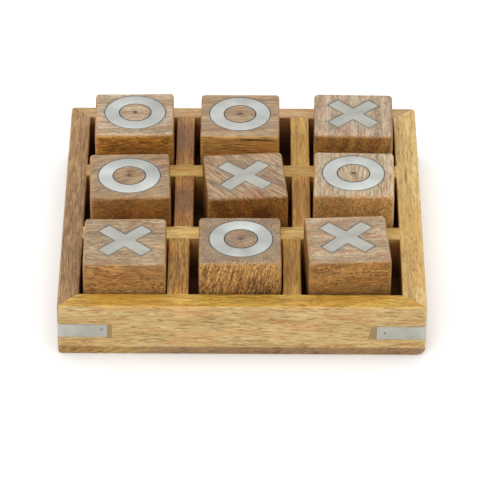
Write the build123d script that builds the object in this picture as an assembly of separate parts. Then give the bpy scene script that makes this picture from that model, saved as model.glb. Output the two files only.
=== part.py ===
from build123d import *
import os
from math import cos, radians, sin, sqrt

os.makedirs("parts", exist_ok=True)

# Tic tac toe set: nine loose cube blocks that stand in a three by three wooden tray.
# All sizes are in millimetres. X runs from left to right, Y from front to back, Z is up.
# The origin is the middle of the tray's underside.

# ---- Blocks
BLOCK_SIZE = 40.0            # side of a cube block
BLOCK_CORNER_RADIUS = 2.5    # rounding of a block's four upright edges
BLOCK_EASING = 2.3           # rounding of a block's top and bottom edges

# ---- Inlays in the tops of the blocks
INLAY_THICKNESS = 2.0
GLUE_LINE = 0.2              # gap round an inlay in its pocket
RING_MARGIN = 4.75           # wood left between a ring and the sides of its block
RING_WIDTH = 6.9
CROSS_MARGIN = 7.15          # wood left between the ends of a cross and the sides of its block
CROSS_ARM_WIDTH = 7.0
PILOT_DIAMETER = 2.0         # pilot hole at the middle of a ring
PILOT_DEPTH = 6.0
PLUG_SINK = 0.25             # how far the plug lies below the top of its block

# ---- Tray
CELL_PLAY = 5.7              # how much wider than a block an evenly spaced cell is
BLOCK_CLEARANCE = 0.4        # least gap between a block and the wood round its cell
BASE_THICKNESS = 4.3
RAIL_HEIGHT = 23.8           # height of rails, cross slats and dividers above the base board
FRONT_RAIL_WIDTH = 10.9
BACK_RAIL_WIDTH = 9.6
LEFT_RAIL_WIDTH = 10.2
RIGHT_RAIL_WIDTH = 11.5
CROSS_SLAT_WIDTH = 10.2
DIVIDER_WIDTH = 9.6
TRAY_CORNER_RADIUS = 2.0     # rounding of the tray's upright corners
WORN_CORNER_RADIUS = 5.0     # the base board's front right corner is sanded rounder
RAIL_EASING = 1.2            # rounding of the rails' outer top edges
CELL_EASING = 0.7            # rounding of the top edges round each cell
BASE_EASING = 0.8            # rounding of the base board's lower edges

# The slats were set by hand, so each lies a little off the even spacing.
# Cross slats: how far towards the back. Dividers: how far to the right, and how much wider.
CROSS_SLAT_SHIFT = {"front": 1.75, "back": 1.25}
DIVIDER_FIT = {
    ("back", "left"): (-1.15, -0.5),
    ("back", "right"): (2.05, -0.1),
    ("middle", "left"): (-1.0, 0.0),
    ("middle", "right"): (2.2, -0.4),
    ("front", "left"): (-2.8, 0.8),
    ("front", "right"): (-2.8, -0.8),
}

# ---- Corner straps
STRAP_LEG = 24.0
STRAP_HEIGHT = 7.4
STRAP_THICKNESS = 1.2
STRAP_GAP = 0.12             # dark line round a strap in its recess
BRAD_DIAMETER = 1.4
BRAD_LENGTH = 8.0
BRAD_FIT = 0.02              # clearance of a brad in its hole, on the radius

# For each corner: side in X, side in Y, height of the strap's middle, distance of the brads
# from the strap's ends, height of the brads above the strap's middle, and length of the
# filler beyond the strap's ends at its lower and upper edge.
CORNERS = {
    "front_left": (-1, -1, 13.6, 2.6, 0.9, 2.2, 2.1),
    "front_right": (1, -1, 13.1, 4.0, -0.1, 4.2, 2.2),
    "back_left": (-1, 1, 13.4, 3.0, 0.3, 2.4, 2.2),
    "back_right": (1, 1, 13.3, 3.3, 0.5, 2.2, 3.0),
}

# ---- How the blocks stand: mark, place in the cell from left to right and from front to
# back (0 is against one side and 1 against the other), turn in degrees, and how far the
# mark was let in to the right and to the back of the block's middle
BLOCKS = {
    ("back", "left"): ("ring", 0.84, 0.51, 1.2, 0.3, 1.4),
    ("back", "centre"): ("ring", 0.35, 0.45, -0.3, -0.1, 0.6),
    ("back", "right"): ("cross", 0.71, 0.57, -1.0, 0.0, 0.9),
    ("middle", "left"): ("ring", 0.66, 0.0, 2.2, -0.4, -0.3),
    ("middle", "centre"): ("cross", 0.70, 0.0, 4.5, -0.2, -0.3),
    ("middle", "right"): ("ring", 0.32, 0.73, -1.2, -0.2, 0.6),
    ("front", "left"): ("cross", 0.94, 0.10, 0.6, 0.1, 0.4),
    ("front", "centre"): ("ring", 0.91, 0.32, 0.5, 0.5, 1.0),
    ("front", "right"): ("cross", 0.16, 0.54, 3.2, -0.2, 1.6),
}

# ---- Worked out from the sizes above
EVEN_CELL = BLOCK_SIZE + CELL_PLAY
TRAY_X = LEFT_RAIL_WIDTH + 3 * EVEN_CELL + 2 * DIVIDER_WIDTH + RIGHT_RAIL_WIDTH
TRAY_Y = FRONT_RAIL_WIDTH + 3 * EVEN_CELL + 2 * CROSS_SLAT_WIDTH + BACK_RAIL_WIDTH
TRAY_HEIGHT = BASE_THICKNESS + RAIL_HEIGHT
INNER_LEFT = LEFT_RAIL_WIDTH - TRAY_X / 2
INNER_RIGHT = TRAY_X / 2 - RIGHT_RAIL_WIDTH
INNER_FRONT = FRONT_RAIL_WIDTH - TRAY_Y / 2
INNER_BACK = TRAY_Y / 2 - BACK_RAIL_WIDTH
RING_OUTER_RADIUS = BLOCK_SIZE / 2 - RING_MARGIN
RING_INNER_RADIUS = RING_OUTER_RADIUS - RING_WIDTH
CROSS_ARM_LENGTH = sqrt(2) * (BLOCK_SIZE - 2 * CROSS_MARGIN) - CROSS_ARM_WIDTH


def slat_span(side):
    """Front and back edge of a cross slat."""
    cells_in_front = {"front": 1, "back": 2}[side]
    front = INNER_FRONT + cells_in_front * EVEN_CELL + (cells_in_front - 1) * CROSS_SLAT_WIDTH
    front += CROSS_SLAT_SHIFT[side]
    return front, front + CROSS_SLAT_WIDTH


def divider_span(row, side):
    """Left and right edge of a divider."""
    cells_before = {"left": 1, "right": 2}[side]
    shift, wider = DIVIDER_FIT[row, side]
    centre = INNER_LEFT + cells_before * EVEN_CELL + (cells_before - 0.5) * DIVIDER_WIDTH + shift
    half_width = (DIVIDER_WIDTH + wider) / 2
    return centre - half_width, centre + half_width


def row_span(row):
    """Front and back edge of the cells in a row."""
    front_slat = slat_span("front")
    back_slat = slat_span("back")
    spans = {
        "front": (INNER_FRONT, front_slat[0]),
        "middle": (front_slat[1], back_slat[0]),
        "back": (back_slat[1], INNER_BACK),
    }
    return spans[row]


def cell_span(row, column):
    """Left and right edge of a cell."""
    left_divider = divider_span(row, "left")
    right_divider = divider_span(row, "right")
    spans = {
        "left": (INNER_LEFT, left_divider[0]),
        "centre": (left_divider[1], right_divider[0]),
        "right": (right_divider[1], INNER_RIGHT),
    }
    return spans[column]


def upright_box(x_span, y_span, bottom, top):
    """A box between two X, two Y and two Z values."""
    size = (x_span[1] - x_span[0], y_span[1] - y_span[0], top - bottom)
    low_corner = (x_span[0], y_span[0], bottom)
    return Pos(*low_corner) * Box(*size, align=(Align.MIN, Align.MIN, Align.MIN))


# ---- Corner straps, with their brads and filler
# They are drawn for the front left corner, with that corner at the origin, and then
# mirrored to the other corners. One leg runs along X, and the other is its copy along Y.

DIAGONAL = Plane(origin=(0, 0, 0), z_dir=(1, -1, 0))


def both_legs(shape):
    """A piece on the leg along X, and its copy on the leg along Y."""
    return [shape, mirror(shape, about=DIAGONAL)]


def at_corner(shape, corner):
    """Take a piece from the drawing's corner to a corner of the tray."""
    x_side, y_side = CORNERS[corner][:2]
    placed = Pos(-TRAY_X / 2, -TRAY_Y / 2, 0) * shape
    if x_side > 0:
        placed = mirror(placed, about=Plane.YZ)
    if y_side > 0:
        placed = mirror(placed, about=Plane.XZ)
    return placed


def corner_band(reach, bottom, top):
    """The outermost skin of the tray, as thick as a strap, round one corner."""
    outline = make_face(Polyline((0, reach), (0, 0), (reach, 0), (reach, reach), close=True))
    outline = fillet(outline.vertices().sort_by_distance((0, 0, 0))[0], TRAY_CORNER_RADIUS)
    core = Pos(STRAP_THICKNESS, STRAP_THICKNESS) * Rectangle(reach, reach, align=(Align.MIN, Align.MIN))
    return Pos(0, 0, bottom) * extrude(outline - core, top - bottom)


def brad(corner, radius):
    """A brad on the leg along X, through the strap and into the rail."""
    middle, inset, rise = CORNERS[corner][2:5]
    shank = Cylinder(radius, BRAD_LENGTH, align=(Align.CENTER, Align.CENTER, Align.MIN))
    return Pos(STRAP_LEG - inset, 0, middle + rise) * Rot(-90, 0, 0) * shank


def filler(corner):
    """Filler in the recess beyond the end of the leg along X."""
    middle, lower_length, upper_length = CORNERS[corner][2], *CORNERS[corner][5:7]
    low = middle - STRAP_HEIGHT / 2 - STRAP_GAP
    high = middle + STRAP_HEIGHT / 2 + STRAP_GAP
    start = STRAP_LEG + STRAP_GAP
    outline = Polyline(
        (start, 0, low),
        (start + lower_length, 0, low),
        (start + upper_length, 0, high),
        (start, 0, high),
        close=True,
    )
    return extrude(make_face(outline), STRAP_THICKNESS, dir=(0, 1, 0))


def strap(corner):
    """An L-shaped strap with a hole for a brad in each leg."""
    middle = CORNERS[corner][2]
    band = corner_band(STRAP_LEG, middle - STRAP_HEIGHT / 2, middle + STRAP_HEIGHT / 2)
    for hole in both_legs(brad(corner, BRAD_DIAMETER / 2 + BRAD_FIT)):
        band -= hole
    return band


def strap_recess(corner):
    """What is cut from the rails for a strap, its filler and its brads."""
    middle = CORNERS[corner][2]
    half_height = STRAP_HEIGHT / 2 + STRAP_GAP
    cut = corner_band(STRAP_LEG + STRAP_GAP, middle - half_height, middle + half_height)
    for piece in both_legs(filler(corner)) + both_legs(brad(corner, BRAD_DIAMETER / 2 + BRAD_FIT)):
        cut += piece
    return cut


# ---- Tray
# Rails, slats and dividers were glued up and then sanded as one, so the whole frame is
# shaped first and is then divided into its pieces.


def frame_blank():
    """The whole frame: outer wall, nine cells, eased edges and the recesses for the straps."""
    outline = RectangleRounded(TRAY_X, TRAY_Y, TRAY_CORNER_RADIUS)
    blank = Pos(0, 0, BASE_THICKNESS) * extrude(outline, RAIL_HEIGHT)
    blank = fillet(blank.faces().sort_by(Axis.Z)[-1].edges(), RAIL_EASING)
    rim = blank.faces().sort_by(Axis.Z)[-1].edges()
    for row, column in BLOCKS:
        blank -= upright_box(cell_span(row, column), row_span(row), 0, 2 * TRAY_HEIGHT)
    top_edges = blank.faces().sort_by(Axis.Z)[-1].edges()
    cell_edges = [edge for edge in top_edges if edge.center() not in [e.center() for e in rim]]
    blank = fillet(cell_edges, CELL_EASING)
    for corner in CORNERS:
        blank -= at_corner(strap_recess(corner), corner)
    return blank


def mitre(corner):
    """The mitre line at a corner of the frame, from inside the tray to outside it.

    It starts at 45 degrees across the eased edge and then runs to the outer corner.
    """
    x_side, y_side = CORNERS[corner][:2]
    inner = Vector(INNER_LEFT if x_side < 0 else INNER_RIGHT, INNER_FRONT if y_side < 0 else INNER_BACK)
    outer = Vector(x_side * TRAY_X / 2, y_side * TRAY_Y / 2)
    knee = inner + Vector(x_side, y_side) * CELL_EASING
    end = outer + (outer - knee)
    return [inner, knee, end]


def rail_wedge(side):
    """The part of the frame that one mitred rail takes up, between its two mitres."""
    ends = {
        "front": ("front_left", "front_right"),
        "right": ("front_right", "back_right"),
        "back": ("back_right", "back_left"),
        "left": ("back_left", "front_left"),
    }
    first, last = ends[side]
    plan = make_face(Polyline(*mitre(first), *reversed(mitre(last)), close=True))
    return extrude(plan, 2 * TRAY_HEIGHT)


def base_board():
    """The board under the whole tray, with one corner rounder than the others."""
    outline = Rectangle(TRAY_X, TRAY_Y)
    corners = outline.vertices().sort_by(Axis((0, 0, 0), (1, -1, 0)))
    outline = fillet(corners[-1], WORN_CORNER_RADIUS)
    square_corners = outline.vertices().sort_by(Axis((0, 0, 0), (1, -1, 0)))[:3]
    outline = fillet(square_corners, TRAY_CORNER_RADIUS)
    board = extrude(outline, BASE_THICKNESS)
    return fillet(board.faces().sort_by(Axis.Z)[0].edges(), BASE_EASING)


# ---- Blocks and their inlays, drawn standing at the origin


def ring(outer_radius, inner_radius):
    """A flat ring let into the top of a block."""
    outline = Circle(outer_radius) - Circle(inner_radius)
    return Pos(0, 0, BLOCK_SIZE - INLAY_THICKNESS) * extrude(outline, INLAY_THICKNESS)


def cross(arm_length, arm_width):
    """A flat diagonal cross let into the top of a block."""
    outline = Rectangle(arm_length, arm_width, rotation=45) + Rectangle(arm_length, arm_width, rotation=-45)
    return Pos(0, 0, BLOCK_SIZE - INLAY_THICKNESS) * extrude(outline, INLAY_THICKNESS)


def inlay(mark, gap=0):
    """A ring or a cross, made larger by a gap on every side for its pocket."""
    if mark == "ring":
        return ring(RING_OUTER_RADIUS + gap, RING_INNER_RADIUS - gap)
    return cross(CROSS_ARM_LENGTH + 2 * gap, CROSS_ARM_WIDTH + 2 * gap)


def pilot(length):
    """The pilot hole, or the plug in it, measured up from the hole's bottom."""
    rod = Cylinder(PILOT_DIAMETER / 2, length, align=(Align.CENTER, Align.CENTER, Align.MIN))
    return Pos(0, 0, BLOCK_SIZE - PILOT_DEPTH) * rod


def block(mark, mark_place):
    """A cube block with eased edges and a pocket for its inlay."""
    cube = Box(BLOCK_SIZE, BLOCK_SIZE, BLOCK_SIZE, align=(Align.CENTER, Align.CENTER, Align.MIN))
    cube = fillet(cube.edges().filter_by(Axis.Z), BLOCK_CORNER_RADIUS)
    ends = cube.faces().sort_by(Axis.Z)
    cube = fillet(ends[0].edges() + ends[-1].edges(), BLOCK_EASING)
    cube -= mark_place * inlay(mark, GLUE_LINE)
    if mark == "ring":
        cube -= mark_place * pilot(PILOT_DEPTH)
    return cube


def block_location(row, column):
    """Where a block stands in its cell, and how it is turned."""
    across, deep, turn = BLOCKS[row, column][1:4]
    half_extent = BLOCK_SIZE / 2 * (cos(radians(turn)) + sin(abs(radians(turn))))
    reach = half_extent + BLOCK_CLEARANCE
    left, right = cell_span(row, column)
    front, back = row_span(row)
    x = (left + reach) * (1 - across) + (right - reach) * across
    y = (front + reach) * (1 - deep) + (back - reach) * deep
    return Pos(x, y, BASE_THICKNESS) * Rot(0, 0, turn)


# ---- All nodes

nodes = {"base_board": base_board()}
frame = frame_blank()
for side in ("front", "back", "left", "right"):
    nodes[f"{side}_rail"] = frame & rail_wedge(side)
for side in ("front", "back"):
    room = upright_box((INNER_LEFT, INNER_RIGHT), slat_span(side), 0, 2 * TRAY_HEIGHT)
    nodes[f"cross_slat_{side}"] = frame & room
for row, side in DIVIDER_FIT:
    room = upright_box(divider_span(row, side), row_span(row), 0, 2 * TRAY_HEIGHT)
    nodes[f"divider_{row}_{side}"] = frame & room

brads = []
fillers = []
for corner in CORNERS:
    nodes[f"strap_{corner}"] = at_corner(strap(corner), corner)
    brads += [at_corner(shank, corner) for shank in both_legs(brad(corner, BRAD_DIAMETER / 2))]
    fillers += [at_corner(piece, corner) for piece in both_legs(filler(corner))]
nodes["strap_brads"] = Compound(children=[solid for shape in brads for solid in shape.solids()])
nodes["recess_fillers"] = Compound(children=[solid for shape in fillers for solid in shape.solids()])

for row, column in BLOCKS:
    mark = BLOCKS[row, column][0]
    mark_place = Pos(*BLOCKS[row, column][4:])
    location = block_location(row, column)
    nodes[f"block_{row}_{column}"] = location * block(mark, mark_place)
    nodes[f"{mark}_{row}_{column}"] = location * mark_place * inlay(mark)
    if mark == "ring":
        nodes[f"plug_{row}_{column}"] = location * mark_place * pilot(PILOT_DEPTH - PLUG_SINK)

for name, shape in nodes.items():
    export_step(shape, f"parts/{name}.step")
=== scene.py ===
import math
from dataclasses import dataclass

import bmesh
import bpy
from bpy.props import FloatProperty, FloatVectorProperty, IntProperty, PointerProperty
from mathutils import Euler, Matrix, Vector


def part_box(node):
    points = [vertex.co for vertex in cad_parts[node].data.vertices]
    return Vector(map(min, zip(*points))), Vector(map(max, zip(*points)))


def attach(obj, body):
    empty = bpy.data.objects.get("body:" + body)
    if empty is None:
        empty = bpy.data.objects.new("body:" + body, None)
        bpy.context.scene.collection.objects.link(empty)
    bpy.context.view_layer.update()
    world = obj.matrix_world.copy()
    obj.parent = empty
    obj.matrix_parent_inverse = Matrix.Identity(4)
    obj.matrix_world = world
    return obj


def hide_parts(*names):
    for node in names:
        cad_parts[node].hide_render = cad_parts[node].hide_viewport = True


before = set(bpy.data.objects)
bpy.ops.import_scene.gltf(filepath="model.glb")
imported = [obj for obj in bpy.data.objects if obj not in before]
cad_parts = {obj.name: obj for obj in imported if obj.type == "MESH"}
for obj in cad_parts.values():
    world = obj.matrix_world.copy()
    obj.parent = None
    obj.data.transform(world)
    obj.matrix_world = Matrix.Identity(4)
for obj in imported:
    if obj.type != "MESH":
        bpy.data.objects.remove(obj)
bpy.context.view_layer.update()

bl_info = {
    "name": "Wooden tic tac toe set",
    "version": (1, 0, 0),
    "blender": (4, 5, 0),
    "location": "3D View > Sidebar > Tic tac toe",
    "description": "Sands the blocks, lets in the marks and finishes the wood and metal of the set",
    "category": "Object",
}

MM = 0.001
ROWS = ("back", "middle", "front")
COLUMNS = ("left", "centre", "right")
BLOCK_PLACES = [f"{row}_{column}" for row in ROWS for column in COLUMNS]
CORNERS = ("front_left", "front_right", "back_left", "back_right")


def colour(code):
    """A colour written as six hexadecimal digits, as the linear values that a shader takes."""
    parts = [int(code[i:i + 2], 16) / 255 for i in (0, 2, 4)]
    linear = [part / 12.92 if part <= 0.04045 else ((part + 0.055) / 1.055) ** 2.4 for part in parts]
    return (*linear, 1.0)


# ---- Node trees written as expressions


class Socket:
    """An output socket with arithmetic on it. Each operation adds a Math or Vector Math node."""

    def __init__(self, tree, socket):
        self.tree = tree
        self.socket = socket

    def __add__(self, other):
        return self.tree.maths("ADD", self, other)

    def __radd__(self, other):
        return self.tree.maths("ADD", other, self)

    def __sub__(self, other):
        return self.tree.maths("SUBTRACT", self, other)

    def __rsub__(self, other):
        return self.tree.maths("SUBTRACT", other, self)

    def __mul__(self, other):
        return self.tree.maths("MULTIPLY", self, other)

    def __rmul__(self, other):
        return self.tree.maths("MULTIPLY", other, self)

    def __truediv__(self, other):
        return self.tree.maths("DIVIDE", self, other)

    def __rtruediv__(self, other):
        return self.tree.maths("DIVIDE", other, self)

    def __abs__(self):
        return self.tree.maths("ABSOLUTE", self)

    def __gt__(self, other):
        return self.tree.maths("GREATER_THAN", self, other)

    def __lt__(self, other):
        return self.tree.maths("LESS_THAN", self, other)

    def __mod__(self, other):
        return self.tree.maths("MODULO", self, other)

    def part(self, axis):
        """One component of a vector."""
        return self.tree.node("ShaderNodeSeparateXYZ", inputs={0: self}, output=axis)

    def length(self):
        return self.tree.maths("LENGTH", self, output=1)

    def rise(self, low, high):
        """0 below low, 1 above high, and a smooth rise between them."""
        return self.tree.node(
            "ShaderNodeMapRange",
            {"interpolation_type": "SMOOTHSTEP"},
            {"Value": self, "From Min": low, "From Max": high},
        )


class Tree:
    """A node tree with one method that adds any node."""

    def __init__(self, tree):
        self.tree = tree

    def node(self, kind, settings=None, inputs=None, output=0):
        """Add a node: its settings first, and then the values or links of its sockets."""
        made = self.tree.nodes.new(kind)
        for name, value in (settings or {}).items():
            setattr(made, name, value)
        for name, value in (inputs or {}).items():
            for item in value if isinstance(value, list) else [value]:
                if isinstance(item, Socket):
                    self.tree.links.new(item.socket, made.inputs[name])
                else:
                    made.inputs[name].default_value = item
        return Socket(self, made.outputs[output]) if made.outputs else None

    def maths(self, operation, *terms, output=0):
        """A Math node, or a Vector Math node where a term is a vector or a colour."""
        vectors = [
            term for term in terms
            if isinstance(term, tuple)
            or (isinstance(term, Socket) and term.socket.type in ("VECTOR", "RGBA"))
        ]
        if not vectors:
            return self.node("ShaderNodeMath", {"operation": operation}, dict(enumerate(terms)))
        terms = [(term,) * 3 if isinstance(term, (int, float)) else term for term in terms]
        return self.node("ShaderNodeVectorMath", {"operation": operation}, dict(enumerate(terms)), output)

    def join(self, x, y, z):
        """A vector from three numbers."""
        return self.node("ShaderNodeCombineXYZ", inputs={0: x, 1: y, 2: z})

    def noise(self, vector, detail=2.0, roughness=0.5, vary="Fac"):
        """Smooth noise from 0 to 1 that changes about once for each unit of the vector."""
        return self.node(
            "ShaderNodeTexNoise",
            inputs={"Vector": vector, "Scale": 1.0, "Detail": detail, "Roughness": roughness},
            output=vary,
        )


class Shader(Tree):
    """The node tree of one material."""

    def __init__(self, name):
        self.material = bpy.data.materials.new(name)
        self.material.use_nodes = True
        super().__init__(self.material.node_tree)
        self.tree.nodes.clear()

    def place(self, centre, turn=0.0):
        """Millimetres from a centre, turned in plan by an angle in degrees."""
        spot = self.node("ShaderNodeTexCoord", output="Object")
        return self.turned(spot, centre, (0, 0, turn), MM)

    def turned(self, vector, centre, angles, unit=1.0):
        """A vector measured from a centre along axes that are turned by angles in degrees."""
        return self.node(
            "ShaderNodeMapping",
            {"vector_type": "TEXTURE"},
            {
                "Vector": vector,
                "Location": tuple(centre),
                "Rotation": tuple(math.radians(angle) for angle in angles),
                "Scale": (unit, unit, unit),
            },
        )

    def mix(self, factor, first, second, blend="MIX"):
        """A blend of two colours."""
        return self.node(
            "ShaderNodeMix",
            {"data_type": "RGBA", "blend_type": blend},
            {0: factor, 6: first, 7: second},
            output=2,
        )

    def surface(self, base, roughness, height=None, depth=0.0, **fixed):
        """The Principled shader with a bump of a depth in metres, and the material's output."""
        inputs = {"Base Color": base, "Roughness": roughness}
        for name, value in fixed.items():
            inputs[name.replace("_", " ")] = value
        if height is not None:
            inputs["Normal"] = self.node(
                "ShaderNodeBump",
                inputs={"Strength": 1.0, "Distance": depth, "Height": height},
            )
        shader = self.node("ShaderNodeBsdfPrincipled", inputs=inputs)
        self.node("ShaderNodeOutputMaterial", inputs={"Surface": shader})
        return self.material


class Shape(Tree):
    """A Geometry Nodes tree with named inputs, which ends in one mesh."""

    SOCKETS = {float: "NodeSocketFloat", int: "NodeSocketInt", tuple: "NodeSocketVector"}

    def __init__(self, name, **inputs):
        super().__init__(bpy.data.node_groups.new(name, "GeometryNodeTree"))
        for key, value in inputs.items():
            given = self.tree.interface.new_socket(
                key.replace("_", " ").capitalize(), in_out="INPUT", socket_type=self.SOCKETS[type(value)])
            given.default_value = value
        self.tree.interface.new_socket("Material", in_out="INPUT", socket_type="NodeSocketMaterial")
        self.tree.interface.new_socket("Geometry", in_out="OUTPUT", socket_type="NodeSocketGeometry")
        self.given = self.tree.nodes.new("NodeGroupInput")

    def __getitem__(self, name):
        return Socket(self, self.given.outputs[name])

    def mesh(self, kind, settings=None, **inputs):
        """A node that makes or changes geometry."""
        sockets = {key.replace("_", " "): value for key, value in inputs.items()}
        return self.node(f"GeometryNode{kind}", settings, sockets)

    def input_mesh(self):
        """The mesh that the tree is put on."""
        start = self.tree.interface.new_socket("Geometry", in_out="INPUT", socket_type="NodeSocketGeometry")
        self.tree.interface.move(start, 0)
        return self["Geometry"]

    def bend(self, geometry, position):
        """Set the position of every point."""
        return self.mesh("SetPosition", Geometry=geometry, Position=position)

    def finish(self, geometry, sharp_angle=35.0):
        """Realise instances, mark sharp edges, put the piece in place and give it its material."""
        whole = self.mesh("RealizeInstances", Geometry=geometry)
        smooth = self.node("GeometryNodeSetShadeSmooth", inputs={0: whole})
        edges = self.node("GeometryNodeInputMeshEdgeAngle")
        marked = self.node(
            "GeometryNodeStoreNamedAttribute",
            {"data_type": "BOOLEAN", "domain": "EDGE"},
            {"Geometry": smooth, "Name": "sharp_edge", "Value": edges > math.radians(sharp_angle)},
        )
        placed = self.mesh("Transform", Geometry=marked, Translation=self["Place"],
                           Rotation=self.join(0.0, 0.0, self["Turn"]))
        coated = self.mesh("SetMaterial", Geometry=placed, Material=self["Material"])
        self.node("NodeGroupOutput", inputs={0: coated})
        return self.tree


def grow(name, tree, start=None, bevel=0.0, **inputs):
    """Run a Geometry Nodes tree once, and keep its result as a piece with a plain mesh."""
    piece = bpy.data.objects.new(name, start or bpy.data.meshes.new(name))
    bpy.context.scene.collection.objects.link(piece)
    growing = piece.modifiers.new("Shape", "NODES")
    growing.node_group = tree
    for given in tree.interface.items_tree:
        key = given.name.lower().replace(" ", "_")
        if given.in_out == "INPUT" and key in inputs:
            growing[given.identifier] = inputs[key]
    if bevel:
        easing = piece.modifiers.new("Eased edges", "BEVEL")
        easing.width = bevel
        easing.segments = 2
        easing.limit_method = "ANGLE"
        easing.harden_normals = False
    depsgraph = bpy.context.evaluated_depsgraph_get()
    mesh = bpy.data.meshes.new_from_object(piece.evaluated_get(depsgraph), depsgraph=depsgraph)
    piece.modifiers.clear()
    piece.data = mesh
    mesh.name = name
    return piece


# ---- What the frame says about its pieces


def middle(node):
    """The middle of a node's box."""
    low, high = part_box(node)
    return (low + high) / 2


def turn_of(node):
    """How far a square piece is turned in plan, in radians, from its widest upright face."""
    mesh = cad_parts[node].data
    sides = [face for face in mesh.polygons if abs(face.normal.z) < 0.01]
    widest = max(sides, key=lambda face: face.area)
    angle = math.atan2(widest.normal.y, widest.normal.x)
    quarter = math.pi / 2
    return angle - quarter * round(angle / quarter)


def plan_reach(node):
    """The least and greatest distance in plan of a node's corners from its middle."""
    centre = middle(node).xy
    distances = [(corner.co.xy - centre).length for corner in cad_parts[node].data.vertices]
    return min(distances), max(distances)


def thickness(node):
    """A node's height."""
    low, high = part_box(node)
    return high.z - low.z


# ---- Wood


ALONG_Y = (0, 0, 90)
SEED_STEP = (37.0, 11.0, 7.0)    # how far apart in the timber two boards of neighbouring seeds are cut

# Waves for each millimetre, along the fibres and then across them both ways
WANDER = (0.02, 0.07, 0.07)
FIBRE = (0.08, 1.15, 1.15)
VESSEL = (0.045, 0.75, 0.75)
VESSEL_BREAKS = (0.14, 0.6, 0.6)
PORE_CROWDS = (0.06, 0.16, 0.16)
BLUSH_PATCHES = (0.04, 0.2, 0.2)
PORES_ACROSS = 2.4
RING_DRIFT = 0.008               # how fast the growth rings change along the fibres
SMEARS = 0.35                    # waves in the dust and glue rubbed in round a mark

BLUSH = "c08a64"
EDGE_WEAR_AND_HIGHLIGHT = "e0c08c"
METAL_DUST = "857b68"
PLUG_SMUDGE = "5a4630"
GLUE_LINE = "4a4238"
# Painted shade down in the cells, first redder and then dark
CELL_SHADE_RED = "8a3808"
CELL_SHADE_DARK = "280a02"


@dataclass
class Spot:
    """A place where a board's colour differs: a stain, a crack or a cluster of pores."""

    code: str                    # its colour
    at: tuple                    # its middle, in millimetres from the middle of the piece
    reach: tuple                 # how far it runs each way
    strength: float = 1.0        # how much of its colour shows in its middle
    ragged: float = 0.6          # how uneven its outline is
    soft: float = 0.5            # share of its reach over which it fades
    grit: float = 1.2            # how fine the unevenness is, in waves for each millimetre


@dataclass
class Board:
    """How the wood of one piece looks. Lengths are in millimetres."""

    light: str                   # colour between the streaks
    dark: str                    # colour of the streaks
    sanded_lit_top_light: str = ""          # the same on faces that look up, where they were sanded most, with painted light and sheen from above
    sanded_lit_top_dark: str = ""           # if these two are empty, the tops are like the sides
    pore: str = "563218"         # colour of a dark pore
    grain: tuple = (0, 0, 0)     # angles of the fibres from X, in degrees
    streaks: float = 1.0         # contrast of the fine streaks
    figure: float = 1.0          # contrast of the growth rings and broad streaks
    pores: float = 0.5           # how many pores are dark
    fleck: float = 4.0           # length of a pore
    pore_strength: float = 0.6   # how dark a pore is
    blush: float = 0.3           # strength of the warmer patches
    waver: float = 2.5           # how far the fibres wander sideways
    rings: float = 4.0           # distance between growth rings
    heart: tuple = (35.0, 25.0)  # where the tree's heart lies, across the fibres
    seed: float = 0.0
    wear_and_highlight: float = 0.12           # how much paler the eased edges are: partly wear, partly a painted highlight
    gloss: float = 0.4           # strength of the reflections
    spots: tuple = ()


def spot_mask(shader, place, spot):
    """How much of a spot shows at a place: 1 in its middle and 0 outside its ragged outline."""
    away = shader.maths("DIVIDE", place - tuple(spot.at), tuple(spot.reach)).length()
    uneven = shader.noise(place * spot.grit, 3.0, 0.6) - 0.5
    return (1 - (away + uneven * spot.ragged).rise(1 - spot.soft, 1.0)) * spot.strength


def timber(shader, place, board):
    """The board's wood at a place: the place along its bent fibres, its tone, fibres, vessels and pores."""
    cut = tuple(board.seed * step for step in SEED_STEP)
    along = shader.turned(place, (0, 0, 0), board.grain) + cut
    wander = shader.noise(along * WANDER, 2.0, vary="Color") - 0.5
    flow = along + wander * (0.0, board.waver * 2, board.waver * 2)

    heart = (0.0, board.heart[0] + cut[1], board.heart[1] + cut[2])
    from_heart = ((flow - heart) * (0.0, 1.0, 1.0)).length()
    growth = shader.noise(shader.join(from_heart / board.rings, flow.part(0) * RING_DRIFT, board.seed), 2.0)
    # Each pattern is moved by its own number, so that no two of them line up
    fibre = shader.noise(flow * FIBRE, 4.0, 0.75)
    vessel = shader.noise(flow * VESSEL + 31.0, 2.0, 0.6)
    broken = shader.noise(flow * VESSEL_BREAKS + 53.0, 2.0)
    stroke = shader.noise(flow * (1.0 / board.fleck, PORES_ACROSS, PORES_ACROSS) + 17.0, 1.0)
    crowd = shader.noise(along * PORE_CROWDS + 90.0, 2.0)

    vessels = (1 - abs(vessel - 0.5) * 22.0).rise(0.0, 1.0) * broken.rise(0.42, 0.62)
    tone = 0.5 + (growth - 0.5) * (1.3 * board.figure) + (fibre - 0.5) * (2.6 * board.streaks)
    tone = (tone + vessels * (0.6 * board.streaks)).rise(0.0, 1.0)
    least = 0.66 - 0.12 * board.pores
    pores = (stroke + (crowd - 0.5) * 0.4).rise(least, least + 0.1)
    return flow, tone, fibre, vessels, pores


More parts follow.
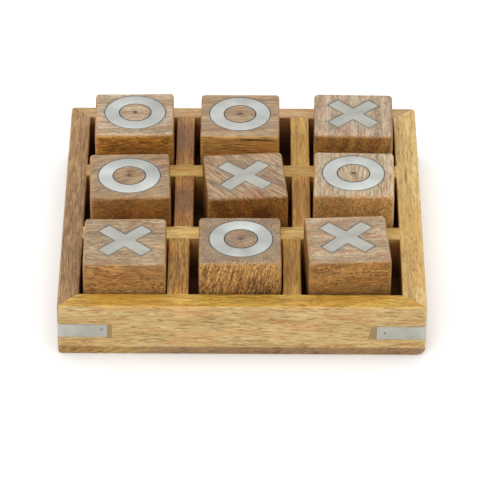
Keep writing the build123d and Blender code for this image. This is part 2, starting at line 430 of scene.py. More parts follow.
def wood(name, board, centre, turn=0.0, stain_and_shade=None):
    """A wood finish for one piece, which lies at a centre and is turned in plan."""
    shader = Shader(name)
    place = shader.place(centre, math.degrees(turn))
    flow, tone, fibre, vessels, pores = timber(shader, place, board)

    normal = shader.node("ShaderNodeNewGeometry", output="Normal")
    # Faces that look up take their own colours: the wood sanded paler, with painted light and sheen from
    # above
    facing_up = normal.part(2).rise(0.5, 0.97)
    side = shader.mix(tone, colour(board.light), colour(board.dark))
    top = shader.mix(tone, colour(board.sanded_lit_top_light or board.light), colour(board.sanded_lit_top_dark or board.dark))
    base = shader.mix(facing_up, side, top)
    patches = shader.noise(flow * BLUSH_PATCHES + 71.0, 2.0)
    base = shader.mix(patches.rise(0.42, 0.68) * board.blush, base, colour(BLUSH), "OVERLAY")
    for spot in board.spots:
        tint = shader.mix(tone * 0.6, colour(spot.code), colour(board.dark))
        base = shader.mix(spot_mask(shader, place, spot), base, tint)
    base = shader.mix(pores * (1 - facing_up * 0.4) * board.pore_strength, base, colour(board.pore))
    # This adds the stains round a block's mark, and the painted shade in the tray's cells
    if stain_and_shade:
        base = stain_and_shade(shader, place, base)

    # Eased edges grow paler: partly wear, partly a painted highlight
    size = abs(normal)
    flat = shader.maths("MAXIMUM", size.part(0), shader.maths("MAXIMUM", size.part(1), size.part(2)))
    wear_and_highlight = (1 - flat).rise(0.01, 0.18) * board.wear_and_highlight
    base = shader.mix(wear_and_highlight, base, colour(EDGE_WEAR_AND_HIGHLIGHT))
    roughness = 0.5 + (fibre - 0.5) * 0.3 + pores * 0.2
    height = fibre * 0.6 - vessels * 0.4 - pores
    return shader.surface(base, roughness, height, 0.12 * MM, Specular_IOR_Level=board.gloss)


# A board's top colours, where given, hold painted light from above as well as the sanded wood
TRAY_BOARDS = {
    "front_rail": Board(
        "ceb47c", "a4844e", sanded_lit_top_light="dcb24e", sanded_lit_top_dark="987424", grain=(0, 2, 0), seed=1.0,
        figure=0.5, pores=0.45, fleck=6.0, pore_strength=0.5,
        spots=(Spot("cc962a", (-52, 0, 12), (30, 12, 4), strength=0.5),)),
    "back_rail": Board("c4a676", "987844", seed=2.0),
    "left_rail": Board(
        "b08a5a", "7a5a34", grain=ALONG_Y, seed=3.0, streaks=1.1, fleck=8.0, pore_strength=0.4, blush=0.12),
    "right_rail": Board(
        "e0c27e", "b08e50", grain=ALONG_Y, seed=4.0, streaks=0.8, pores=0.5, fleck=4.0, pore_strength=0.5,
        blush=0.15, spots=(
            Spot("4c2e14", (-1, 26, 12), (0.7, 9, 3), strength=0.9, ragged=0.8),
            Spot("c08a34", (1, -52, 12), (9, 28, 6), strength=0.35, ragged=1.2, soft=0.6, grit=0.5),
            Spot("c8963c", (0, -22, 10), (9, 40, 9), strength=0.5, ragged=0.8, soft=0.8, grit=0.15))),
    "base_board": Board(
        "be9a58", "80602c", grain=(0, -12, 0), seed=5.0, waver=5.0, pores=0.9,
        spots=(Spot("9c7c5a", (38, -89, 0), (96, 12, 9), strength=0.9, ragged=0.3, soft=0.15, grit=0.3),)),
    "cross_slat_front": Board("dcbc72", "ae8642", seed=6.0, streaks=0.8, pores=0.2),
    "cross_slat_back": Board("ccac5c", "a07a36", seed=7.0, streaks=0.8, pores=0.2),
    "divider_back_left": Board(
        "b4823a", "805222", grain=ALONG_Y, seed=8.0, pores=0.2,
        spots=(Spot("906a46", (0, 3, 12), (12, 17, 6), strength=0.7, ragged=0.4, soft=0.6, grit=0.2),)),
    "divider_back_right": Board("d4ac54", "a27832", grain=ALONG_Y, seed=9.0, pores=0.2),
    "divider_middle_left": Board(
        "be8838", "885620", grain=ALONG_Y, seed=10.0, pores=0.3,
        spots=(Spot("88603c", (0, 1, 12), (12, 17, 6), strength=0.8, ragged=0.4, soft=0.6, grit=0.2),)),
    "divider_middle_right": Board("ca9a42", "986822", grain=ALONG_Y, seed=11.0, pores=0.2),
    "divider_front_left": Board(
        "d2a24a", "8e6222", grain=ALONG_Y, seed=12.0, streaks=1.3, pores=0.6, fleck=8.0),
    "divider_front_right": Board("ca9c44", "9a6c26", grain=ALONG_Y, seed=13.0, pores=0.2),
}

# Each block's top colours are its sanded wood with painted light and sheen from above
BLOCK_BOARDS = {
    "back_left": Board(
        "d2943e", "805218", sanded_lit_top_light="d0bc9e", sanded_lit_top_dark="907a5c", seed=21.0, waver=6.0,
        pores=0.9, fleck=2.5, spots=(
            Spot("7c4414", (2, -20, 6), (17, 3, 5), strength=0.5, ragged=1.4, soft=0.6, grit=0.4),)),
    "back_centre": Board(
        "ca984e", "825626", sanded_lit_top_light="b89e7c", sanded_lit_top_dark="866e50", seed=22.0, fleck=6.0, spots=(
            Spot("40220c", (8, -19, 17.5), (13, 4, 0.9), strength=0.9, ragged=0.9, soft=0.5, grit=0.5),
            Spot("a87c54", (-8, -12, 20), (9, 7, 3), strength=0.4, ragged=0.8, soft=0.8, grit=0.3))),
    "back_right": Board(
        "ba8a46", "704c20", sanded_lit_top_light="c2ae92", sanded_lit_top_dark="92806a", grain=ALONG_Y, seed=23.0, pores=0.9,
        fleck=3.0, spots=(
            Spot("8f8468", (-12, -12, 20), (7, 6, 4), strength=0.5, ragged=0.8, soft=0.8, grit=0.3),)),
    "middle_left": Board(
        "aa7a3c", "6c461c", sanded_lit_top_light="b49872", sanded_lit_top_dark="785e40", grain=(0, 0, 20), seed=24.0, waver=5.0,
        spots=(
            Spot("d0b088", (12, -12, 20), (5, 10, 5), strength=0.4, ragged=0.9, soft=0.7, grit=0.5),
            Spot("4c2c10", (-3, -20, 2), (14, 3, 13), strength=0.5, ragged=1.2, soft=0.8, grit=0.15))),
    "middle_centre": Board(
        "a8722c", "583410", sanded_lit_top_light="ba9e7a", sanded_lit_top_dark="765c40", grain=(0, 0, -50), seed=25.0,
        streaks=1.2, figure=0.8, spots=(
            Spot("501c08", (7, -20, 4), (7, 4, 13), strength=0.75, ragged=1.5, soft=0.6, grit=0.22),
            Spot("b07450", (4, -16, 20), (9, 5, 5), strength=0.6, ragged=0.9, soft=0.7, grit=0.3),
            Spot("d4ba96", (-15, -16, 20), (5, 5, 5), strength=0.5, ragged=0.8, soft=0.8, grit=0.4))),
    "middle_right": Board(
        "d8ac68", "966e40", sanded_lit_top_light="c8b89a", sanded_lit_top_dark="968060", grain=ALONG_Y, seed=26.0,
        streaks=1.1, figure=0.7, pores=0.8, fleck=5.0),
    "front_left": Board(
        "c29450", "825c2a", sanded_lit_top_light="baa280", sanded_lit_top_dark="826a4a", seed=27.0, waver=7.0,
        figure=1.4, pores=0.9, fleck=3.0),
    "front_centre": Board(
        "d8a65c", "7a522a", sanded_lit_top_light="b49c7a", sanded_lit_top_dark="826e58", grain=(0, -74, 0), seed=28.0, waver=1.2,
        streaks=0.9, figure=0.4, pores=1.5, pore_strength=0.75, fleck=1.8),
    "front_right": Board(
        "be8e46", "845c2a", sanded_lit_top_light="c6ae8c", sanded_lit_top_dark="967e60", seed=29.0, waver=8.0,
        streaks=1.1, figure=0.7, pores=1.2, fleck=1.2),
}


# ---- Metal


# Marks for each millimetre: round a ring from turning, and along and across a piece from a file
TURNED_MARKS = 3.0
# Waves of the painted sheen round a ring
TURNED_SHEEN = 0.9
FILE_MARKS = (0.15, 3.0, 3.0)
FILE_CLOUDS = 0.1
CORNER_HIGHLIGHT = (85.0, 88.5)      # where a painted highlight brightens a strap round its corner, in millimetres from the set's middle


def aluminium(name, centre, turn, kind, settings):
    """Satin aluminium with fine marks: round ones from turning on a ring, and a file's elsewhere. A ring
    also gets a painted sheen that changes round it, and a strap a painted highlight at its corners.
    """
    shader = Shader(name)
    spot = shader.place(centre, turn)
    if kind == "ring":
        flat = spot * (1.0, 1.0, 0.0)
        marks = shader.noise(shader.join(flat.length() * TURNED_MARKS, 0.0, 0.0), 4.0, 0.7)
        # A painted sheen: brightness that changes round the ring, in place of the light caught by its
        # turned marks
        around = shader.maths("NORMALIZE", flat)
        clouds = shader.noise(around * TURNED_SHEEN + centre[0] / MM * TURNED_SHEEN, 1.0)
    else:
        marks = shader.noise(spot * FILE_MARKS, 4.0, 0.7)
        clouds = shader.noise(spot * FILE_CLOUDS, 3.0)
    polish_and_highlight = ((clouds - 0.5) * 2.0 + (marks - 0.5) * 2.0 + 0.5).rise(-0.2, 1.2)
    # A painted highlight brightens each strap where it wraps round the corner
    if kind == "strap":
        size = abs(spot)
        polish_and_highlight = polish_and_highlight + shader.maths("MINIMUM", size.part(0), size.part(1)).rise(*CORNER_HIGHLIGHT) * 0.9
    dull, bright = (tuple(getattr(settings, f"{kind}_{look}")) for look in ("dull", "bright"))
    roughness = 0.36 + marks * 0.12 + clouds * 0.1
    return shader.surface(shader.mix(polish_and_highlight, dull, bright), roughness, marks, 0.03 * MM, Metallic=0.85)


def plain(name, shade, roughness, metallic=0.0):
    """A small part's finish: one colour that varies a little, with a fine grit."""
    shader = Shader(name)
    spot = shader.place((0, 0, 0))
    speck = shader.noise(spot * 2.5, 3.0, 0.65)
    base = shader.mix(speck * 0.5, tuple(shade), colour("000000"))
    return shader.surface(base, roughness + speck * 0.15, speck, 0.05 * MM, Metallic=metallic)


# ---- Shapes that follow a rule


SPARE = 1 * MM                   # how far the tool that cuts a pocket stands out of the wood
DRILL_SPARE = 0.05 * MM          # the same for the drill of a pilot hole
WALL_WAVES = (450.0, 450.0, 0.0)  # waves for each metre in a pocket's walls, which run straight down
WELD = 0.001 * MM                # corners nearer than this are one corner
RING_STEPS = 128                 # flats round a ring
CROSS_CUTS = 12                  # cuts along each side of a cross's pocket, so that it can wander
EDGE_SEED, WALL_SEED = 9.7, 5.3  # how far apart two blocks' edges and pocket walls are sampled


def rounded_cube(shape):
    """A cube whose edges are rounded unevenly, as by hand with sandpaper."""
    steps, bends = shape["Steps"], shape["Bend steps"]
    count = (steps + bends) * 2.0 + 1.0
    cube = shape.mesh("MeshCube", Size=(2.0, 2.0, 2.0), Vertices_X=count, Vertices_Y=count,
                      Vertices_Z=count)
    at = shape.node("GeometryNodeInputPosition")
    waves = shape.noise(at * shape["Unevenness scale"] + shape["Seed"] * EDGE_SEED, 1.0)
    radius = shape["Rounding"] * (1.0 + (waves - 0.5) * shape["Unevenness"])
    core = shape["Size"] / 2.0 - radius
    step = abs(at) * (steps + bends)
    flat = shape.maths("MINIMUM", step / steps, (1.0, 1.0, 1.0)) * core
    angle = shape.maths("MAXIMUM", (step - steps) / bends, (0.0, 0.0, 0.0)) * (math.pi / 4)
    bend = shape.maths("NORMALIZE", shape.maths("TANGENT", angle)) * radius
    return shape.bend(cube, (flat + bend) * shape.maths("SIGN", at))


def ring_body(shape, outer, inner, depth, top, easing=None):
    """A ring round the origin with its top at a height, and with eased edges if they are asked for."""
    path = shape.mesh("CurvePrimitiveCircle", Resolution=RING_STEPS, Radius=(outer + inner) / 2.0)
    section = shape.mesh("CurvePrimitiveQuadrilateral", Width=outer - inner, Height=depth)
    if easing is not None:
        section = shape.mesh("FilletCurve", {"mode": "POLY"}, Curve=section, Count=3, Radius=easing)
    body = shape.mesh("CurveToMesh", Curve=path, Profile_Curve=section)
    return shape.mesh("Transform", Geometry=body, Translation=shape.join(0.0, 0.0, top - depth / 2.0))


def cross_outline(shape, length, width):
    """The closed outline of a diagonal cross: two outer corners and an inner one for each arm."""
    outline = shape.mesh("CurvePrimitiveCircle", Resolution=12)
    index = shape.node("GeometryNodeInputIndex")
    corner = index % 3.0
    arm = shape.maths("FLOOR", index / 3.0)
    x = width / 2.0 + (length / 2.0 - width / 2.0) * (corner < 1.5)
    y = width * ((corner > 0.5) - 0.5)
    turned = shape.node("ShaderNodeVectorRotate", {"rotation_type": "Z_AXIS"}, {
        "Vector": shape.join(x, y, 0.0), "Angle": (arm + 0.5) * (math.pi / 2)})
    return shape.bend(outline, turned)


def cross_body(shape, length, width, depth, top, cuts=0):
    """A cross of even thickness with its top at a height, and its sides cut into short pieces."""
    outline = cross_outline(shape, length, width)
    if cuts:
        outline = shape.mesh("SubdivideCurve", Curve=outline, Cuts=cuts)
    plate = shape.mesh("FillCurve", {"mode": "NGONS"}, Curve=outline)
    body = shape.mesh("ExtrudeMesh", {"mode": "FACES"}, Mesh=plate, Offset_Scale=depth, Individual=False)
    both = shape.mesh("JoinGeometry", Geometry=[body, shape.mesh("FlipFaces", Mesh=plate)])
    closed = shape.mesh("MergeByDistance", Geometry=both, Distance=WELD)
    return shape.mesh("Transform", Geometry=closed, Translation=shape.join(0.0, 0.0, top - depth))


def mark_body(shape, kind, reach, width, depth, top, **details):
    """The body of a ring or a cross."""
    if kind == "ring":
        return ring_body(shape, reach, reach - width, depth, top, **details)
    return cross_body(shape, reach, width, depth, top, **details)


def widened(shape, kind):
    """Reach and width of a mark made larger by the gap round it, and by the gap inside a ring."""
    if kind == "ring":
        return shape["Reach"] + shape["Gap"], shape["Width"] + shape["Gap"] + shape["Inner gap"]
    return shape["Reach"] + shape["Gap"] * 2.0, shape["Width"] + shape["Gap"] * 2.0


def cut_away(shape, body, tools):
    """A body with other bodies cut out of it."""
    how = {"operation": "DIFFERENCE", "solver": "EXACT"}
    return shape.node("GeometryNodeMeshBoolean", how, {0: body, 1: tools})


def block_tree(kind):
    """A block with the pocket of its mark, whose walls wander a little, and the pilot hole of a ring."""
    shape = Shape(
        f"Block with a {kind}", size=40 * MM, rounding=2 * MM, steps=16, bend_steps=5, unevenness=0.6,
        unevenness_scale=1.6, seed=1.0, reach=15 * MM, width=7 * MM, depth=2 * MM, gap=0.3 * MM,
        inner_gap=0.5 * MM, wander=0.5 * MM, mark_shift=(0.0, 0.0, 0.0), pilot_radius=1.05 * MM,
        pilot_depth=6 * MM, place=(0.0, 0.0, 0.0), turn=0.0)
    half = shape["Size"] / 2.0
    reach, width = widened(shape, kind)
    details = {"cuts": CROSS_CUTS} if kind == "cross" else {}
    pocket = mark_body(shape, kind, reach, width, shape["Depth"] + SPARE, half + SPARE, **details)
    at = shape.node("GeometryNodeInputPosition")
    sway = shape.noise(at * WALL_WAVES + shape["Seed"] * WALL_SEED, 3.0, vary="Color") - 0.5
    tools = [shape.bend(pocket, at + sway * (1.0, 1.0, 0.0) * shape["Wander"])]
    if kind == "ring":
        drill = shape.mesh(
            "MeshCylinder", Vertices=32, Radius=shape["Pilot radius"], Depth=shape["Pilot depth"])
        drill_middle = shape.join(0.0, 0.0, half - shape["Pilot depth"] / 2.0 + DRILL_SPARE)
        tools.append(shape.mesh("Transform", Geometry=drill, Translation=drill_middle))
    tools = [shape.mesh("Transform", Geometry=tool, Translation=shape["Mark shift"]) for tool in tools]
    return shape.finish(cut_away(shape, rounded_cube(shape), tools))


def mark_tree(kind):
    """A ring or a cross of metal with eased edges. Place is the middle of its top."""
    shape = Shape(f"Metal {kind}", reach=15 * MM, width=7 * MM, depth=2 * MM, easing=0.08 * MM,
                  place=(0.0, 0.0, 0.0), turn=0.0)
    details = {"easing": shape["Easing"]} if kind == "ring" else {}
    body = mark_body(shape, kind, shape["Reach"], shape["Width"], shape["Depth"], 0.0, **details)
    return shape.finish(body)


def glue_tree(kind):
    """The glue round a mark, which lies a little below the wood and runs on into it, past the pocket."""
    shape = Shape(f"Glue round a {kind}", reach=15 * MM, width=7 * MM, depth=2 * MM, gap=0.9 * MM,
                  inner_gap=0.9 * MM, sink=0.15 * MM, place=(0.0, 0.0, 0.0), turn=0.0)
    reach, width = widened(shape, kind)
    top = 0.0 - shape["Sink"]
    whole = mark_body(shape, kind, reach, width, shape["Depth"] - shape["Sink"] * 2.0, top)
    deep, high = shape["Depth"] * 2.0, shape["Depth"] / 2.0
    metal = mark_body(shape, kind, shape["Reach"], shape["Width"], deep, high)
    return shape.finish(cut_away(shape, whole, [metal]))


def brad_tree():
    """Round brads with dished heads, one at each point of the mesh it is put on."""
    shape = Shape("Brads", radius=0.7 * MM, length=8 * MM, dish=0.08 * MM, place=(0.0, 0.0, 0.0),
                  turn=0.0)
    points = shape.input_mesh()
    shank = shape.mesh("MeshCylinder", {"fill_type": "TRIANGLE_FAN"}, Vertices=24, Fill_Segments=5,
                       Radius=shape["Radius"], Depth=shape["Length"])
    at = shape.node("GeometryNodeInputPosition")
    from_axis = (at * (1.0, 1.0, 0.0)).length() / shape["Radius"]
    dished = at - shape.join(0.0, 0.0, (1.0 - from_axis * from_axis) * shape["Dish"] * (at.part(2) > 0.0))
    head_up = shape.mesh("Transform", Geometry=shape.bend(shank, dished),
                         Translation=shape.join(0.0, 0.0, shape["Length"] / -2.0))
    outward = shape.node(
        "GeometryNodeInputNamedAttribute", {"data_type": "FLOAT_VECTOR"}, {"Name": "outward"})
    turn = shape.node("FunctionNodeAlignRotationToVector", {"axis": "Z"}, {"Vector": outward})
    brads = shape.mesh("InstanceOnPoints", Points=points, Instance=head_up, Rotation=turn)
    return shape.finish(brads)


@dataclass
class Mark:
    """The ring or cross of a block, as the frame has it."""

    kind: str
    node: str
    centre: Vector
    reach: float        # outer radius of a ring, or length of a cross's arms
    width: float
    depth: float


def mark_of(place):
    """The mark that is let into the block at a place."""
    kind = "ring" if f"ring_{place}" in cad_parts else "cross"
    node = f"{kind}_{place}"
    near, far = plan_reach(node)
    if kind == "ring":
        reach, width = far, far - near
    else:
        width = near * math.sqrt(2)
        reach = 2 * math.sqrt(far ** 2 - (width / 2) ** 2)
    return Mark(kind, node, middle(node), reach, width, thickness(node))


def own_shift(block, mark):
    """Where a mark lies from the middle of its block, along the block's own sides."""
    shift = mark.centre - middle(block)
    return Matrix.Rotation(-turn_of(block), 3, "Z") @ Vector((shift.x, shift.y, 0.0))


def top_of(node):
    """The middle of a node's top."""
    centre = middle(node)
    return Vector((centre.x, centre.y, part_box(node)[1].z))


def stain_round(mark, block):
    """Grey metal dust and glue rubbed into the wood round a mark. A wood finish calls the result."""
    shift = own_shift(block, mark) / MM
    reach, width = mark.reach / MM, mark.width / MM

    def stain_and_shade(shader, place, base):
        spot = (place - (shift.x, shift.y, 0.0)) * (1.0, 1.0, 0.0)
        if mark.kind == "ring":
            outside = abs(spot.length() - (reach - width / 2)) - width / 2
        else:
            turned = abs(shader.turned(spot, (0, 0, 0), (0, 0, 45)))
            past_side = shader.maths("MINIMUM", turned.part(0), turned.part(1)) - width / 2
            past_end = shader.maths("MAXIMUM", turned.part(0), turned.part(1)) - reach / 2
            outside = shader.maths("MAXIMUM", past_side, past_end)
        above = (place.part(2) - (thickness(block) / MM / 2 - 1.0)).rise(0.0, 0.5)
        smear = shader.noise(place * SMEARS + 7.0, 3.0, 0.6).rise(0.35, 0.7)
        dust = (1 - outside.rise(0.2, 3.0)) * above * (0.25 + smear * 0.5)
        line = (1 - outside.rise(0.3, 0.8)) * above * 0.5
        base = shader.mix(dust, base, colour(METAL_DUST))
        if mark.kind == "ring":
            smudge = (1 - spot.length().rise(0.6, 3.2)) * above * (0.25 + smear * 0.3)
            base = shader.mix(smudge, base, colour(PLUG_SMUDGE))
        return shader.mix(line, base, colour(GLUE_LINE))

    return stain_and_shade


def cell_painted_shade(shader, place, base):
    """Painted shade down in the cells: the wood turns redder and then darker below the top. A wood finish
    calls this.
    """
    left, right = (corner.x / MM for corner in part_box("cross_slat_front"))
    near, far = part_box("divider_front_left")[0].y / MM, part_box("divider_back_left")[1].y / MM
    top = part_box("divider_front_left")[1].z / MM
    spot = shader.place((0, 0, 0))
    x, y, z = (spot.part(axis) for axis in range(3))
    in_width = shader.maths("MINIMUM", x - left, right - x)
    in_length = shader.maths("MINIMUM", y - near, far - y)
    inside = shader.maths("MINIMUM", in_width, in_length).rise(-0.6, -0.1)
    deep = top - z
    # Painted shade: redder a little below the top, and dark deep down
    base = shader.mix(inside * deep.rise(0.3, 6.0) * 0.62, base, colour(CELL_SHADE_RED))
    return shader.mix(inside * deep.rise(4.0, 20.0) * 0.7, base, colour(CELL_SHADE_DARK))


def loose_parts(node):
    """Lowest and highest corner of each separate solid in a node."""
    solids = bmesh.new()
    solids.from_mesh(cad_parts[node].data)
    bmesh.ops.remove_doubles(solids, verts=solids.verts, dist=WELD)
    waiting = set(solids.verts)
    boxes = []
    while waiting:
        edge_of_part = [waiting.pop()]
        corners = []
        while edge_of_part:
            corner = edge_of_part.pop()
            corners.append(corner.co.copy())
            beside = [edge.other_vert(corner) for edge in corner.link_edges]
            edge_of_part += [other for other in beside if other in waiting]
            waiting.difference_update(beside)
        boxes.append((Vector(map(min, zip(*corners))), Vector(map(max, zip(*corners)))))
    solids.free()
    return sorted(boxes, key=lambda box: tuple(box[0]))


# ---- Settings


def length_property(name, description, size):
    """A length in millimetres, kept in metres."""
    return FloatProperty(name=name, description=description, default=size * MM, min=0.0,
                         subtype="DISTANCE", unit="LENGTH")


def angle_property(name, description, degrees):
    """An angle in degrees, kept in radians."""
    return FloatProperty(name=name, description=description, default=math.radians(degrees),
                         subtype="ANGLE", unit="ROTATION")


def power_property(name, description, watts):
    """A lamp's power in watts."""
    return FloatProperty(name=name, description=description, default=watts, min=0.0, unit="POWER")


def colour_property(name, description, code):
    """A colour whose default is written as six hexadecimal digits."""
    return FloatVectorProperty(name=name, description=description, default=colour(code), size=4, min=0.0,
                               max=1.0, subtype="COLOR")


class BlockSettings(bpy.types.PropertyGroup):
    """How the blocks are sanded, and how loosely their marks fit."""

    rounding: length_property("Rounding", "Radius of a block's edges", 2.0)
    unevenness: FloatProperty(
        name="Unevenness", description="How much the radius varies", default=0.6, min=0.0, max=1.0,
        subtype="FACTOR")
    glue_gap: length_property("Glue line", "Gap between a mark and the wood round it", 0.3)
    inner_gap: length_property("Inner glue line", "Gap between a ring and the wood inside it", 0.5)
    glue_depth: length_property("Glue depth", "How far the glue lies below the wood", 0.15)
    easing: length_property("Easing", "Radius of a mark's edges", 0.08)
    steps: IntProperty(
        name="Steps", description="Faces from the middle of a block to its edge", default=16, min=2, max=40)


class FinishSettings(bpy.types.PropertyGroup):
    """Colours of the metal, the glue and the small wooden parts."""

    # On a ring the bright colour also carries its painted sheen, and on a strap the painted highlight at
    # its corners
    ring_dull: colour_property("Ring, dull", "Aluminium of the rings where it is dull", "9c9d98")
    ring_bright: colour_property("Ring, bright", "Aluminium of the rings where it is polished", "c6c9c4")
    cross_dull: colour_property("Cross, dull", "Aluminium of the crosses where it is dull", "9b9a92")
    cross_bright: colour_property(
        "Cross, bright", "Aluminium of the crosses where it is polished", "b4b4ac")
    strap_dull: colour_property("Strap, dull", "Aluminium of the corner straps where it is dull", "9d9d92")
    strap_bright: colour_property(
        "Strap, bright", "Aluminium of the corner straps where it is polished", "b6b6ad")
    brad: colour_property("Brads", "Metal of the brads in the straps", "9a9b92")
    glue: colour_property("Glue", "Glue round the marks", "33312b")
    plug: colour_property("Plugs", "Wood of the plugs inside the rings", "7a5a40")
    filler: colour_property("Filler", "Filler in the recesses of the straps", "a88856")


class StageSettings(bpy.types.PropertyGroup):
    """Floor, light and camera."""

    azimuth: angle_property("Azimuth", "Camera's angle round the set", 0.12)
    elevation: angle_property("Elevation", "Camera's angle above the floor", 34.58)
    roll: angle_property("Roll", "Camera's tilt", 0.23)
    distance: length_property("Distance", "From the camera to the point it looks at", 1887.3)
    lens: FloatProperty(name="Lens", description="Focal length in millimetres", default=282.66)
    aim: FloatVectorProperty(
        name="Aim", description="The point that the camera looks at",
        default=(-1.25 * MM, -6.58 * MM, 10.45 * MM), subtype="TRANSLATION", unit="LENGTH")
    floor: colour_property("Floor", "Colour of the floor", "fcfcfc")
    daylight: FloatProperty(
        name="Daylight", description="Strength of the light from all round", default=1.0, min=0.0)
    overhead: power_property("Overhead softbox", "Power of the light above", 7.0)
    front: power_property("Front fill", "Power of the light in front", 9.0)


# ---- Operators


UNDER_MARK = 0.02 * MM           # space between the floor of a pocket and its mark
FLOOR_REACH = 6.0                # from the middle of the floor to its sides, in metres
SENSOR_WIDTH = 36.0              # in millimetres
SOFTBOXES = (                    # name, place, width in metres, and the setting that holds its power
    ("overhead softbox", (0.0, 0.5, 1.6), 1.6, "overhead"),
    ("front fill", (-0.5, -1.8, 1.2), 1.4, "front"),
)


def coat(node, material):
    """Give a CAD node a finish."""
    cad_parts[node].data.materials.clear()
    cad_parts[node].data.materials.append(material)


def stand_for(piece, body, node):
    """Make a piece ride on a body and stand for a CAD node, which is hidden."""
    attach(piece, body)
    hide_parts(node)


class TICTACTOE_OT_tray(bpy.types.Operator):
    """Finish the rails, slats, dividers and base board"""

    bl_idname = "tictactoe.tray"
    bl_label = "Tray"

    def execute(self, context):
        for node, board in TRAY_BOARDS.items():
            # The cells' wood gets painted shade, darker the deeper it lies
            coat(node, wood(node, board, middle(node), stain_and_shade=cell_painted_shade))
        return {"FINISHED"}


class TICTACTOE_OT_straps(bpy.types.Operator):
    """Finish the corner straps and the filler, and drive in the brads"""

    bl_idname = "tictactoe.straps"
    bl_label = "Corner straps"

    def execute(self, context):
        finish = context.scene.tictactoe_finish
        strap_metal = aluminium("strap aluminium", (0, 0, 0), 0.0, "strap", finish)
        for corner in CORNERS:
            coat(f"strap_{corner}", strap_metal)
        coat("recess_fillers", plain("wood filler", finish.filler, 0.7))
        solids = loose_parts("strap_brads")
        length = max(max(high - low) for low, high in solids)
        radius = min(min(high - low) for low, high in solids) / 2
        heads, outward = [], []
        for low, high in solids:
            reach, centre = (high - low) / 2, (low + high) / 2
            axis = 0 if reach.x > reach.y else 1
            out = Vector((0, 0, 0))
            out[axis] = math.copysign(1.0, centre[axis])
            heads.append(centre + out * reach[axis])
            outward.extend(out)
        start = bpy.data.meshes.new("brad heads")
        start.from_pydata(heads, [], [])
        start.attributes.new("outward", "FLOAT_VECTOR", "POINT").data.foreach_set("vector", outward)
        brads = grow("corner_brads", brad_tree(), start, radius=radius, length=length,
                     material=plain("brad metal", finish.brad, 0.45, metallic=0.7))
        stand_for(brads, "tray", "strap_brads")
        return {"FINISHED"}


class TICTACTOE_OT_blocks(bpy.types.Operator):
    """Sand the nine blocks and cut the pockets for their marks"""

    bl_idname = "tictactoe.blocks"
    bl_label = "Blocks"

    def execute(self, context):
        settings = context.scene.tictactoe_blocks
        trees = {kind: block_tree(kind) for kind in ("ring", "cross")}
        for number, place in enumerate(BLOCK_PLACES):
            node = f"block_{place}"
            mark = mark_of(place)
            turn = turn_of(node)
            finish = wood(node, BLOCK_BOARDS[place], middle(node), turn, stain_round(mark, node))
            block = grow(
                f"sanded_{node}", trees[mark.kind], size=thickness(node), rounding=settings.rounding,
                unevenness=settings.unevenness, steps=settings.steps, seed=float(number), reach=mark.reach,
                width=mark.width, depth=mark.depth + UNDER_MARK, gap=settings.glue_gap,
                inner_gap=settings.inner_gap, mark_shift=own_shift(node, mark), place=middle(node),
                turn=turn, material=finish)
            stand_for(block, f"{place}_block", node)
        return {"FINISHED"}


class TICTACTOE_OT_marks(bpy.types.Operator):
    """Let the rings and crosses into the blocks, and fill the gaps round them with glue"""

    bl_idname = "tictactoe.marks"
    bl_label = "Rings and crosses"

    def execute(self, context):
        settings = context.scene.tictactoe_blocks
        finish = context.scene.tictactoe_finish
        metal = {kind: mark_tree(kind) for kind in ("ring", "cross")}
        glue = {kind: glue_tree(kind) for kind in ("ring", "cross")}
        glue_finish = plain("glue", finish.glue, 0.7)
        plug_finish = plain("plug wood", finish.plug, 0.8)
        for place in BLOCK_PLACES:
            mark = mark_of(place)
            turn = turn_of(f"block_{place}")
            shared = {"reach": mark.reach, "width": mark.width, "depth": mark.depth,
                      "place": top_of(mark.node), "turn": turn}
            material = aluminium(
                f"{mark.node} aluminium", mark.centre, math.degrees(turn), mark.kind, finish)
            piece = grow(f"polished_{mark.node}", metal[mark.kind], easing=settings.easing,
                         bevel=0.0 if mark.kind == "ring" else settings.easing, material=material, **shared)
            stand_for(piece, f"{place}_block", mark.node)
            line = grow(f"glue_{place}", glue[mark.kind], sink=settings.glue_depth, material=glue_finish,
                        **shared)
            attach(line, f"{place}_block")
            if mark.kind == "ring":
                coat(f"plug_{place}", plug_finish)
        return {"FINISHED"}


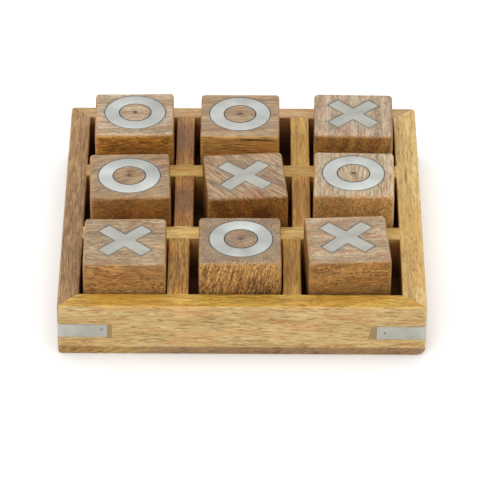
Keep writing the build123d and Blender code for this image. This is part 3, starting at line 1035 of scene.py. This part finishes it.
class TICTACTOE_OT_stage(bpy.types.Operator):
    """Set up the floor, the lights and the camera"""

    bl_idname = "tictactoe.stage"
    bl_label = "Stage"

    def execute(self, context):
        settings = context.scene.tictactoe_stage
        mesh = bpy.data.meshes.new("floor")
        corners = [(x * FLOOR_REACH, y * FLOOR_REACH, 0) for x, y in ((-1, -1), (1, -1), (1, 1), (-1, 1))]
        mesh.from_pydata(corners, [], [(0, 1, 2, 3)])
        floor = bpy.data.objects.new("floor", mesh)
        context.scene.collection.objects.link(floor)
        shader = Shader("pale floor")
        mesh.materials.append(shader.surface(tuple(settings.floor), 0.9, Specular_IOR_Level=0.1))

        world = bpy.data.worlds.new("studio")
        world.use_nodes = True
        background = world.node_tree.nodes["Background"]
        background.inputs["Color"].default_value = (1, 1, 1, 1)
        background.inputs["Strength"].default_value = settings.daylight
        context.scene.world = world
        for name, spot, size, power in SOFTBOXES:
            light = bpy.data.lights.new(name, "AREA")
            light.size = size
            light.energy = getattr(settings, power)
            lamp = bpy.data.objects.new(name, light)
            context.scene.collection.objects.link(lamp)
            lamp.location = spot
            lamp.rotation_euler = (-Vector(spot)).to_track_quat("-Z", "Y").to_euler()

        lens = bpy.data.cameras.new("camera")
        lens.lens = settings.lens
        lens.sensor_width = SENSOR_WIDTH
        camera = bpy.data.objects.new("camera", lens)
        context.scene.collection.objects.link(camera)
        sight = Euler((math.pi / 2 - settings.elevation, 0.0, settings.azimuth)).to_matrix()
        back = sight @ Vector((0, 0, 1))
        camera.location = Vector(settings.aim) + back * settings.distance
        camera.rotation_euler = (sight @ Matrix.Rotation(settings.roll, 3, "Z")).to_euler()
        context.scene.camera = camera
        context.scene.view_settings.view_transform = "Standard"
        return {"FINISHED"}


class TICTACTOE_PT_workshop(bpy.types.Panel):
    """The steps that finish the set"""

    bl_label = "Tic tac toe set"
    bl_space_type = "VIEW_3D"
    bl_region_type = "UI"
    bl_category = "Tic tac toe"

    def draw(self, context):
        for operator in OPERATORS:
            self.layout.operator(operator.bl_idname)
        for group in SETTINGS:
            box = self.layout.box()
            for name in SETTINGS[group].__annotations__:
                box.prop(getattr(context.scene, group), name)


SETTINGS = {
    "tictactoe_blocks": BlockSettings,
    "tictactoe_finish": FinishSettings,
    "tictactoe_stage": StageSettings,
}
OPERATORS = (
    TICTACTOE_OT_tray,
    TICTACTOE_OT_straps,
    TICTACTOE_OT_blocks,
    TICTACTOE_OT_marks,
    TICTACTOE_OT_stage,
)


def register():
    for item in (*SETTINGS.values(), *OPERATORS, TICTACTOE_PT_workshop):
        bpy.utils.register_class(item)
    for name, group in SETTINGS.items():
        setattr(bpy.types.Scene, name, PointerProperty(type=group))


def unregister():
    for name in SETTINGS:
        delattr(bpy.types.Scene, name)
    for item in reversed((*SETTINGS.values(), *OPERATORS, TICTACTOE_PT_workshop)):
        bpy.utils.unregister_class(item)


def main():
    register()
    for operator in OPERATORS:
        group, name = operator.bl_idname.split(".")
        getattr(getattr(bpy.ops, group), name)()


if __name__ == "__main__":
    main()
